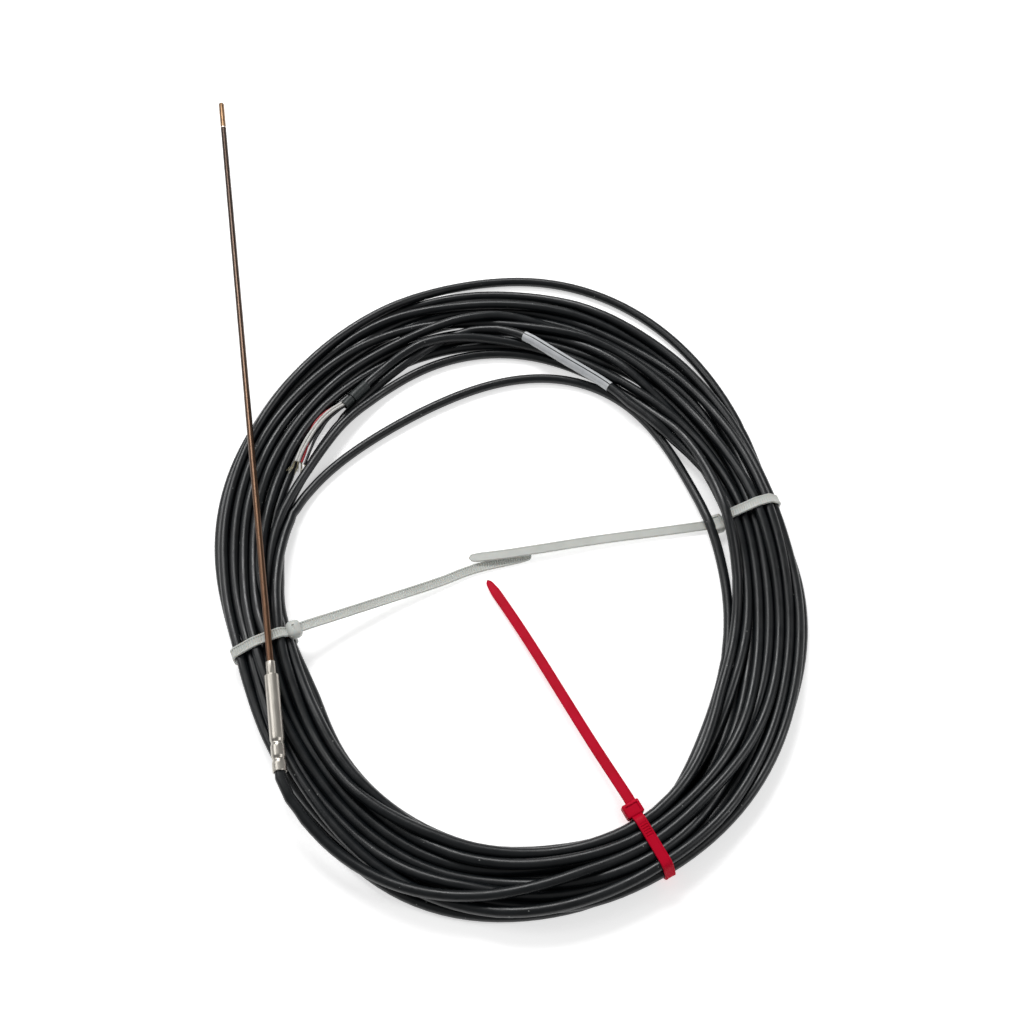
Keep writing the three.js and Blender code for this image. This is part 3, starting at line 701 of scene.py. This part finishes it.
def tip_cap():
    """A domed cap: its end is closed, its rear is open round the sensing element."""
    radius, wall, end = SHEATH_RADIUS, 0.35, 1.0
    flat = 0.7
    dome = radius - flat
    outside = [(radius, CAP_REAR_Y), (radius + 0.015, CAP_REAR_Y + 0.15), (radius, CAP_REAR_Y + 0.6),
               (radius, CAP_REAR_Y / 2)]
    for step in range(9):
        a = step / 8 * math.pi / 2
        outside.append((flat + dome * math.cos(a), -dome + dome * math.sin(a)))
    outside += [(flat / 2, 0.0), (0.02, 0.0)]
    inside = [(0.02, -end), (radius - wall - 0.2, -end), (radius - wall, -end - 0.2),
              (radius - wall, CAP_REAR_Y)]
    rings = turned_rings(outside, 48)
    inner_rings = turned_rings(inside, 48)
    points, faces = rings_to_mesh(rings + inner_rings, closed_loop=False)
    # The wall closes between the first outer ring and the last inner ring, and at the axis by fans.
    faces = [f for f in faces if len(f) == 4]
    count = 48
    last_outer, first_inner = (len(rings) - 1) * count, len(rings) * count
    faces = [f for f in faces if not (f[0] >= last_outer and f[0] < first_inner)]
    faces.append(tuple(last_outer + j for j in range(count)))
    faces.append(tuple(first_inner + j for j in range(count - 1, -1, -1)))
    total = (len(rings) + len(inner_rings) - 1) * count
    faces += [(total + j, total + (j + 1) % count, (j + 1) % count, j) for j in range(count)]
    piece = mesh_piece("tip_cap_finish", points * MM, faces, SURFACES["tip_bronze"])
    sharp_edges(piece)
    finish_piece(piece, "tip_bronze", "tip_cap")


def joining_collar():
    low, high = box_mm("joining_collar")
    ring, bore = high[0], 0.75
    front_spigot, rear_spigot = SHEATH_RADIUS - 0.4, SHEATH_RADIUS - 0.35
    front, rear = CAP_REAR_Y - 0.05, SHEATH_FRONT_Y + 0.05
    crown = [(ring - 0.05 + 0.05 * math.sin(a), (front + rear) / 2 - (front - rear) / 2 * math.cos(a))
             for a in np.linspace(0, math.pi, 9)]
    closed_lathe("joining_collar_finish",
                 [(bore, low[1]), (rear_spigot, low[1]), (rear_spigot, rear), *crown, (front_spigot, front),
                  (front_spigot, high[1]), (bore, high[1])], "pale_ring", "joining_collar", sides=48)


def sheath_tube():
    """A drawn tube, very slightly out of true along its length."""
    bore = SHEATH_RADIUS - 0.3
    stations = np.linspace(SHEATH_REAR_Y, SHEATH_FRONT_Y, 90)
    outside = [(SHEATH_RADIUS, y) for y in stations]

    def drawn(radius, y, angles):
        if radius < SHEATH_RADIUS:
            return np.full(len(angles), radius)
        swell = 0.012 * math.sin(y * 0.23) + 0.008 * math.sin(y * 0.61 + 1)
        return radius - 0.02 + swell + 0.006 * np.cos(2 * angles + y * 0.05)
    closed_lathe("sheath_tube_finish", [*outside, (bore, SHEATH_FRONT_Y), (bore, SHEATH_REAR_Y)],
                 "tinted_sheath", "sheath_tube", sides=40, shape=drawn)


def reducer_bush():
    """The turned neck that holds the sheath in the ferrule, with a softened front edge."""
    neck = 2.0
    bore = SHEATH_RADIUS + 0.05
    collar_y = SHOULDER_Y - 1.05
    collar = FERRULE_RADIUS - 0.55
    edge = [(neck - 0.25 + 0.25 * math.cos(a), NECK_FRONT_Y - 0.25 + 0.25 * math.sin(a))
            for a in np.linspace(0, math.pi / 2, 5)]
    closed_lathe("reducer_bush_finish",
                 [(bore, BUSH_REAR_Y), (collar, BUSH_REAR_Y), (collar, collar_y), (neck, collar_y),
                  (neck, SHOULDER_Y + 0.3), (neck - 0.04, SHOULDER_Y + 0.45), (neck, SHOULDER_Y + 0.6),
                  *edge, (bore, NECK_FRONT_Y)], "ferrule_steel", "reducer_bush")


CRIMPS_Y = [REAR_Y + 12.4, REAR_Y + 5.2]
CRIMP_HALF = 0.95


def ferrule_sleeve():
    """A drawn sleeve, pressed on the cable's jacket by two rolled crimps."""
    wall, lip_y = 0.5, SHOULDER_Y - 1.0
    bore = FERRULE_RADIUS - wall
    edge = [(FERRULE_RADIUS - 0.4 + 0.4 * math.cos(a), SHOULDER_Y - 0.4 + 0.4 * math.sin(a))
            for a in np.linspace(0, math.pi / 2, 6)]
    stations = np.concatenate([np.linspace(REAR_Y + 0.25, CRIMPS_Y[0] + 3, 110),
                               np.linspace(CRIMPS_Y[0] + 3.5, SHOULDER_Y - 0.6, 24)])
    outside = [(FERRULE_RADIUS - 0.12, REAR_Y)] + [(FERRULE_RADIUS, y) for y in stations] + edge

    def crimped(radius, y, angles):
        r = np.full(len(angles), float(radius))
        if abs(radius - bore) < 0.001 and y < lip_y + 0.01:
            pressed = sum(math.exp(-abs((y - crimp) / CRIMP_HALF) ** 3) for crimp in CRIMPS_Y)
            return r - (bore - CABLE_RADIUS + 0.02) * pressed
        for crimp in CRIMPS_Y:
            away = (y - crimp) / CRIMP_HALF
            r -= 0.36 * math.exp(-abs(away) ** 2.4)
        return r
    bore_line = [(bore, y) for y in np.linspace(CRIMPS_Y[0] + 3, REAR_Y, 60)]
    profile = outside + [(2.05, SHOULDER_Y), (2.05, lip_y), (bore, lip_y), *bore_line]
    closed_lathe("ferrule_sleeve_finish", profile, "ferrule_steel", "ferrule_sleeve", sides=96, shape=crimped)


tip_cap()
joining_collar()
sheath_tube()
reducer_bush()
ferrule_sleeve()

# ---- the cable


def cable_curve():
    """One smooth curve from just inside the ferrule to the end of the jacket in its sleeve."""
    start = [(0, 0.15, 0), (0.02, -2.5, 0)]
    path = np.vstack([start, coil_path[2:-1], [TAIL_END]])
    data = bpy.data.curves.new("cable", "CURVE")
    data.dimensions = "3D"
    data.bevel_depth = CABLE_RADIUS * MM
    data.bevel_resolution = 6
    data.use_fill_caps = True
    data.twist_mode = "MINIMUM"
    spline = data.splines.new("POLY")
    spline.points.add(len(path) - 1)
    points = to_world(path)
    spline.points.foreach_set("co", np.hstack([points, np.ones((len(points), 1))]).ravel())
    spline.use_smooth = True
    data.materials.append(SURFACES["cable_jacket"])
    piece = bpy.data.objects.new("cable", data)
    bpy.context.scene.collection.objects.link(piece)
    length = float(np.linalg.norm(np.diff(path, axis=0), axis=1).sum()) * MM
    return piece, length


# The far end: the jacket stops inside a long shrink sleeve, a short one follows, then the cores.
TAIL_Z = float(coil_path[-3:, 2].mean()) + 0.55
TAIL_END = (55.2, 189.9, TAIL_Z)
coil_path[-4:, 2] = np.interp(np.arange(4), [0, 3], [coil_path[-4, 2], TAIL_Z])
CORES = ("white_1", "red", "white_2", "black")
CORE_RADIUS, BARE_RADIUS = 0.65, 0.09

FREE_CORES = {
    "white_1": [
        (46, 183.4, 0.7), (43.7, 182.4, 0.75), (38.9, 180, 0.8), (33.9, 176.1, 0.8),
        (29.9, 171.6, 0.8), (26.2, 166.7, 0.8), (23.5, 162.6, 0.7), (20.9, 157.9, 0.5),
        (18.8, 153.5, 0.3)],
    "white_2": [
        (46.7, 182.2, 0.7), (44.3, 181.2, 0.75), (39.7, 178.8, 0.8), (34.9, 175.1, 0.8),
        (30.9, 170.8, 0.8), (27.4, 165.9, 0.8), (24.7, 161.8, 0.7), (22.1, 157.3, 0.5),
        (20, 152.9, 0.3)],
    "red": [
        (46, 183.4, -0.7), (43.65, 182.5, -0.75), (38.3, 181, -0.75), (32.8, 177.3, -0.75),
        (28.9, 172.5, -0.75), (26.3, 166.6, -0.8), (24.9, 161.7, -0.8), (23, 156.8, -0.8),
        (21.2, 152.9, -0.9)],
    "black": [
        (46.7, 182.2, -0.7), (44.35, 181.1, -0.75), (40, 178.3, -0.75), (35.7, 174.2, -0.8),
        (32.3, 169.7, -1), (28.9, 165, -1.4), (26.6, 160.7, -1.8), (24.4, 156.1, -2),
        (22.6, 152.2, -2)],
}
BARE_ENDS = {
    "white_1": [(18.5, 152.8, 0.2), (16.5, 150.3, -0.4), (13.4, 148, -0.8)],
    "white_2": [(19.8, 152.2, 0.1), (19.2, 149.4, -0.6), (18.3, 146.8, -1)],
    "red": [(20.9, 152.2, -1), (21.1, 149, -1.3), (21.8, 146.4, -1.6)],
    "black": [(22.4, 151.4, -2), (22.9, 148.8, -2.1), (24.6, 146.4, -2.1)],
}


def tube_piece(name, path, radius, slot, *nodes, sides=20):
    points, faces = rings_to_mesh(tube_rings(path, radius, sides))
    piece = mesh_piece(name, to_world(points), faces, SURFACES[slot])
    sharp_edges(piece, 50)
    return finish_piece(piece, slot, *nodes)


def shrink_sleeves():
    """Two shrunk sleeves: each hugs what it covers, with soft ripples and slightly flared mouths."""
    rise = TAIL_Z

    def outer(base, seed):
        def radius(share, angles):
            mouth = 0.10 * math.exp(-(share / 0.06) ** 2) + 0.10 * math.exp(-((1 - share) / 0.06) ** 2)
            ripple = 0.045 * np.sin(3 * angles + 9 * share + seed) * math.sin(14 * share + seed)
            return base + mouth - 0.05 * math.sin(math.pi * share) + ripple
        return radius
    long_path = catmull_rom([(57.4, 191.8, rise), (53.6, 188.6, rise), (49.6, 185.1, rise)], 0.5)
    short_path = catmull_rom([(51.6, 186.8, rise), (48.6, 184.2, rise), (45.4, 181.4, rise)], 0.5)
    pieces = []
    for name, path, base, bore in (("long_heat_shrink", long_path, 2.72, 2.36),
                                   ("short_heat_shrink", short_path, 2.22, 1.85)):
        points, faces = sleeve_mesh(path, outer(base, len(name)), bore)
        piece = mesh_piece(name + "_finish", to_world(points), faces, SURFACES["heat_shrink"])
        sharp_edges(piece, 50)
        pieces.append(finish_piece(piece, "heat_shrink", name))
    return pieces


def free_core(core):
    """An insulated core with a slightly soft cut end."""
    path = catmull_rom([(x, y, TAIL_Z + rise) for x, y, rise in FREE_CORES[core]], 0.6)

    def radius(share, angles):
        cut = 0.12 * ease((share - 0.985) / 0.015)
        return CORE_RADIUS - cut + 0.02 * math.sin(31 * share)
    slot = core.split("_")[0] + "_insulation"
    return tube_piece(f"free_core_{core}_finish", path, radius, slot, f"free_core_{core}")


def bare_strands(core, seed):
    """Fine tinned wires that fan out past the core's cut end."""
    random = np.random.default_rng(seed)
    route = np.array([(x, y, TAIL_Z + rise) for x, y, rise in BARE_ENDS[core]])
    start = np.array(FREE_CORES[core][-1]) + (0, 0, TAIL_Z)
    heading = route[-1] - route[0]
    heading /= np.linalg.norm(heading)
    side = np.cross(heading, (0, 0, 1))
    side /= np.linalg.norm(side)
    parts = []
    for wire in range(9):
        a = wire * 2.4
        offset = 0.36 * math.sqrt((wire + 0.5) / 9)
        root = side * math.cos(a) * offset + np.array([0, 0, 1]) * math.sin(a) * offset
        fan = side * random.uniform(-2.2, 2.2) + np.array([0, 0, 1]) * random.uniform(-0.5, 0.8)
        reach = random.uniform(0.65, 1.05)
        points = [start - heading * 0.8 + root, start + heading * 0.6 + root]
        for k, p in enumerate(route[1:], 1):
            share = k / (len(route) - 1) * reach
            points.append(route[0] + (p - route[0]) * reach + root * (1 - share) + fan * share ** 1.6)
        path = catmull_rom(points, 0.45)
        parts.append(rings_to_mesh(tube_rings(path, BARE_RADIUS, 8)))
    points, faces = joined_meshes(parts)
    piece = mesh_piece(f"bare_strands_{core}_finish", to_world(points), faces, SURFACES["tinned_wire"])
    return finish_piece(piece, "tinned_wire", f"bare_strands_{core}")


def marker_label():
    """A split sleeve round one turn: a ring with a narrow slit along it, square cut at both ends."""
    outer, wall, slit_half = LABEL_RADIUS, 0.2, math.radians(7)
    route = along(coil_path[on_label], 0.8)
    near = [int(np.argmin(np.linalg.norm(route[:, :2] - end, axis=1)))
            for end in ((175, 167.5), (140.5, 205.5))]
    path = route[near[0]:near[1] + 1]
    slit_at = math.radians(95)
    sweep = np.linspace(slit_at + slit_half, slit_at + 2 * math.pi - slit_half, 40)
    tangent = np.gradient(path, axis=0)
    tangent /= np.linalg.norm(tangent, axis=1)[:, None]
    rings = []
    for p, t in zip(path, tangent):
        out = np.cross(t, (0, 0, 1))
        out /= np.linalg.norm(out)
        up = np.cross(out, t)
        section = [(outer * math.cos(a), outer * math.sin(a)) for a in sweep]
        section += [((outer - wall) * math.cos(a), (outer - wall) * math.sin(a)) for a in sweep[::-1]]
        rings.append(np.array([p + u * out + v * up for u, v in section]))
    points, faces = rings_to_mesh(rings)
    faces = faces[:-2]
    half = len(sweep)
    for start in (0, (len(rings) - 1) * 2 * half):
        for j in range(half - 1):
            faces.append((start + j, start + j + 1, start + 2 * half - 2 - j, start + 2 * half - 1 - j))
    piece = mesh_piece("marker_label_finish", to_world(points), faces, SURFACES["label_film"])
    sharp_edges(piece, 40)
    return finish_piece(piece, "label_film", "marker_label")


# ---- cable ties


def hull(points):
    """The convex outline of 2-D points, anticlockwise."""
    points = sorted(map(tuple, points))

    def chain(ordered):
        made = []
        for p in ordered:
            while len(made) > 1 and ((made[-1][0] - made[-2][0]) * (p[1] - made[-2][1])
                                     - (made[-1][1] - made[-2][1]) * (p[0] - made[-2][0])) <= 0:
                made.pop()
            made.append(p)
        return made[:-1]
    return np.array(chain(points) + chain(points[::-1]))


def strap_section(width, thickness, groove):
    """A strap's section, clockwise from its lower left corner, with a shallow track between two rails."""
    w, t, c = width / 2, thickness / 2, min(0.22, thickness / 4)
    rail = min(0.75, 0.32 * w)
    return [(-w, -t + c), (-w + c, -t), (w - c, -t), (w, -t + c), (w, t - c), (w - c, t),
            (w - rail, t), (w - rail - 0.12, t - groove), (-w + rail + 0.12, t - groove), (-w + rail, t),
            (-w + c, t), (-w, t - c)]


def strap_rings(path, widthwise, outward, groove_at, width_at):
    rings = []
    for i, p in enumerate(path):
        width, thick = width_at(i / (len(path) - 1))
        section = strap_section(width, thick, min(groove_at[i], thick * 0.4))
        rings.append(np.array([p + a * widthwise[i] + b * outward[i] for a, b in section]))
    return rings


TOOTH_STEPS = 4                     # stations for each tooth, TOOTH_PITCH long
TOOTH_PITCH = 1.1


def toothed(depth):
    return lambda i, spot=None: 0.05 if i % TOOTH_STEPS < 2 else depth


def ribs_by_head(depth):
    """A few ribs on top of the band beside the head; the rest of the track is plain."""
    def at(i, spot):
        return toothed(depth)(i) if 3.5 < spot[0] < 10 and spot[1] > 7 else 0.1
    return at


def tie_frame(tie):
    a = math.radians(tie["turn"])
    inward = np.array([math.cos(a), math.sin(a), 0.0])
    return inward, np.array([-inward[1], inward[0], 0.0]), np.array([*tie["centre"], 0.0])


def band_outline(tie):
    """The strap's inner line round the strands that it holds: (across, height) points."""
    inward, forward, centre = tie_frame(tie)
    offset = coil_path - centre
    held = tie["width"] / 2 - CABLE_RADIUS + 0.6
    near = (np.abs(offset @ forward) < 2.8) & (np.abs(offset @ inward) < held)
    circle = np.linspace(0, 2 * math.pi, 24, endpoint=False)
    reach = CABLE_RADIUS + 0.12 + STRAP_THICKNESS / 2
    spots = []
    for p in offset[near]:
        across = float(p @ inward)
        spots += [(across + reach * math.cos(a), p[2] - FLOOR_Z + reach * math.sin(a)) for a in circle]
    loop = hull(spots)
    loop = np.vstack([loop, loop[:1]])
    s = np.concatenate([[0], np.cumsum(np.linalg.norm(np.diff(loop, axis=0), axis=1))])
    count = int(round(s[-1] / TOOTH_PITCH)) * TOOTH_STEPS
    at = np.linspace(0, s[-1], count, endpoint=False)
    loop = np.stack([np.interp(at, s, loop[:, k]) for k in (0, 1)], axis=1)
    for _ in range(6):
        loop = 0.5 * loop + 0.25 * (np.roll(loop, 1, 0) + np.roll(loop, -1, 0))
    loop[:, 1] = np.maximum(loop[:, 1], STRAP_THICKNESS / 2 + 0.1)
    return loop


def tie_head(length, width, height, corner):
    """A moulded head: rounded box with the strap's slot in its end and the pawl's window on top."""
    work = bmesh.new()
    bmesh.ops.create_cube(work, size=1.0)
    for v in work.verts:
        v.co = Vector((v.co.x * length, v.co.y * width, v.co.z * height))
    bmesh.ops.bevel(work, geom=list(work.edges), offset=corner, segments=4, profile=0.5, affect="EDGES")
    work.faces.ensure_lookup_table()
    for axis, rim, depth in ((Vector((1, 0, 0)), 0.85, 1.4), (Vector((0, 0, 1)), 1.1, 0.45),
                             (Vector((-1, 0, 0)), 0.9, 0.5)):
        face = max(work.faces, key=lambda f: f.calc_area() * (f.normal.dot(axis) > 0.99))
        bmesh.ops.inset_region(work, faces=[face], thickness=rim * 0.5, depth=0)
        bmesh.ops.inset_region(work, faces=[face], thickness=0.08, depth=-depth)
    points = np.array([v.co for v in work.verts], float)
    work.verts.index_update()
    faces = [tuple(v.index for v in f.verts) for f in work.faces]
    work.free()
    return points, faces


def cable_tie(name, slot, tail, head_rise, teeth, tail_teeth, corner, strap=STRAP_WIDTH, head=(6.5, 8.4, 5.4),
              point=0.15):
    tie = TIES[name]
    inward, forward, centre = tie_frame(tie)
    up = np.array([0.0, 0.0, 1.0])
    loop = band_outline(tie)
    base = centre + FLOOR_Z * up
    path = base + loop[:, :1] * inward + loop[:, 1:] * up
    tangent = np.roll(path, -1, 0) - np.roll(path, 1, 0)
    tangent /= np.linalg.norm(tangent, axis=1)[:, None]
    outward = np.cross(tangent, forward)
    outward *= np.sign(((path - path.mean(0)) * outward).sum(1))[:, None]
    across = np.repeat(forward[None], len(path), 0)
    plain = lambda share: (strap, STRAP_THICKNESS)
    grooves = [teeth(i, spot) for i, spot in enumerate(loop)]
    band = rings_to_mesh(strap_rings(path, across, outward, grooves, plain), closed_loop=True)

    middle_height = head_rise + head[2] / 2
    at_head = np.argmin(np.abs(loop[:, 1] - middle_height) + 100 * (loop[:, 0] < 0))
    from_centre = loop[at_head, 0] + head[0] / 2 - 0.1
    head_at = base + from_centre * inward + middle_height * up
    points, faces = tie_head(*head, corner)
    placed = head_at + points[:, :1] * inward + points[:, 1:2] * forward + points[:, 2:] * up

    route = [head_at + 1.6 * inward] + [np.array([x, y, FLOOR_Z + rise]) for x, y, rise in tail]
    line = along(catmull_rom(route, 0.8), TOOTH_PITCH / TOOTH_STEPS if tail_teeth else 1.1)
    t = np.gradient(line, axis=0)
    t /= np.linalg.norm(t, axis=1)[:, None]
    widthwise = np.cross(np.repeat(up[None], len(line), 0), t)
    widthwise /= np.linalg.norm(widthwise, axis=1)[:, None]
    upward = np.cross(t, widthwise)

    def narrowing(share):
        left = (1 - share) * len(line) * np.linalg.norm(line[1] - line[0])
        taper = 1 - point * ease((6 - left) / 5)
        tip = math.sqrt(max(0.02, 1 - max(0.0, 1 - left / 2.2) ** 2))
        return strap * taper * tip, STRAP_THICKNESS * (0.55 + 0.45 * min(1.0, left / 8))
    grooves = [tail_teeth(i) if tail_teeth else 0.1 for i in range(len(line))]
    strip = rings_to_mesh(strap_rings(line, widthwise, upward, grooves, narrowing))
    points, faces = joined_meshes([band, (placed, faces), strip])
    piece = mesh_piece(name + "_finish", to_world(points), faces, SURFACES[slot])
    sharp_edges(piece, 38)
    return finish_piece(piece, slot, name)


# ---- putting the cord together

cable, cable_length = cable_curve()
finish_piece(cable, "cable_jacket", "cable_coil", "lead_run", "loose_turn", "tail_run")
on_cable = shrink_sleeves()
for number, core in enumerate(CORES):
    on_cable += [free_core(core), bare_strands(core, 20 + number)]
on_cable.append(marker_label())
# The tails' points: x, y and height above the floor.
TIE_TAILS = {
    "tie_left": [(17, 65.7, 11.5), (30, 69.2, 8.5), (56.8, 75.8, 4), (77.3, 80.4, 1.8),
                 (94.7, 84.5, 1), (121, 86.3, 0.9)],
    "tie_right": [(207.5, 86.8, 1.7), (182, 87.7, 1.6), (152, 88.4, 2.2), (122.5, 88.1, 3.3),
                  (107.5, 88.3, 3.3), (92.2, 89.5, 2.6)],
    "tie_red": [(138.3, -35.3, 11), (128.4, -6.8, 7.8), (115, 33.9, 3.8), (107.4, 55.4, 2.2),
                (98.8, 77.6, 1)],
}
cable_tie("tie_left", "natural_nylon", TIE_TAILS["tie_left"], 9, toothed(0.4), toothed(0.36), 2.4)
cable_tie("tie_right", "natural_nylon", TIE_TAILS["tie_right"], 0.4, toothed(0.16), None, 1.2)
cable_tie("tie_red", "red_nylon", TIE_TAILS["tie_red"], 8.6, ribs_by_head(0.3), None, 0.8, strap=4.5,
          head=(6.0, 7.8, 5.0), point=0.3)

# ---- pieces kept from the frame

CARRIED = {"sensing_element": "ceramic", "potting_plug": "potting", "jacket_end": "cable_jacket"}
for core in CORES:
    CARRIED[f"element_lead_{core}"] = "nickel_wire"
    CARRIED[f"splice_sleeve_{core}"] = "splice_copper"
    CARRIED[f"core_end_{core}"] = core.split("_")[0] + "_insulation"
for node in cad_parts:
    if node.startswith("ceramic_bead"):
        CARRIED[node] = "ceramic"
for node, slot in CARRIED.items():
    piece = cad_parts[node]
    piece.data.materials.clear()
    piece.data.materials.append(SURFACES[slot])

# ---- floor and light


def floor():
    s = Surface("pale_floor", (0.90, 0.90, 0.90), 0.85, Emission_Color=(1, 1, 1, 1), Emission_Strength=0.5)
    s.vary_colour(60, (0.895, 0.895, 0.895), (0.91, 0.91, 0.91))
    size, z = 6.0, FLOOR_Z * MM
    points = [(-size, -size, z), (size, -size, z), (size, size, z), (-size, size, z)]
    piece = mesh_piece("floor", points, [(0, 1, 2, 3)], s.material)


def soft_light(name, at, size, power, towards=(0.08, -0.25, 0.0)):
    data = bpy.data.lights.new(name, "AREA")
    data.shape = "RECTANGLE"
    data.size, data.size_y = size
    data.energy = power
    lamp = bpy.data.objects.new(name, data)
    lamp.location = at
    lamp.rotation_euler = (Vector(towards) - Vector(at)).to_track_quat("-Z", "Y").to_euler()
    bpy.context.scene.collection.objects.link(lamp)


floor()
soft_light("overhead", (-0.1, 0.95, 1.35), (0.9, 0.5), 21)
soft_light("left", (-0.9, 0.12, 1.0), (0.5, 0.9), 4, towards=(0.0, -0.35, 0.0))
soft_light("right", (1.5, -0.7, 1.2), (0.35, 1.0), 8)
world = bpy.data.worlds.new("studio")
world.use_nodes = True
world.node_tree.nodes["Background"].inputs["Color"].default_value = (1, 1, 1, 1)
world.node_tree.nodes["Background"].inputs["Strength"].default_value = 0.22
bpy.context.scene.world = world
bpy.context.scene.view_settings.view_transform = "Standard"
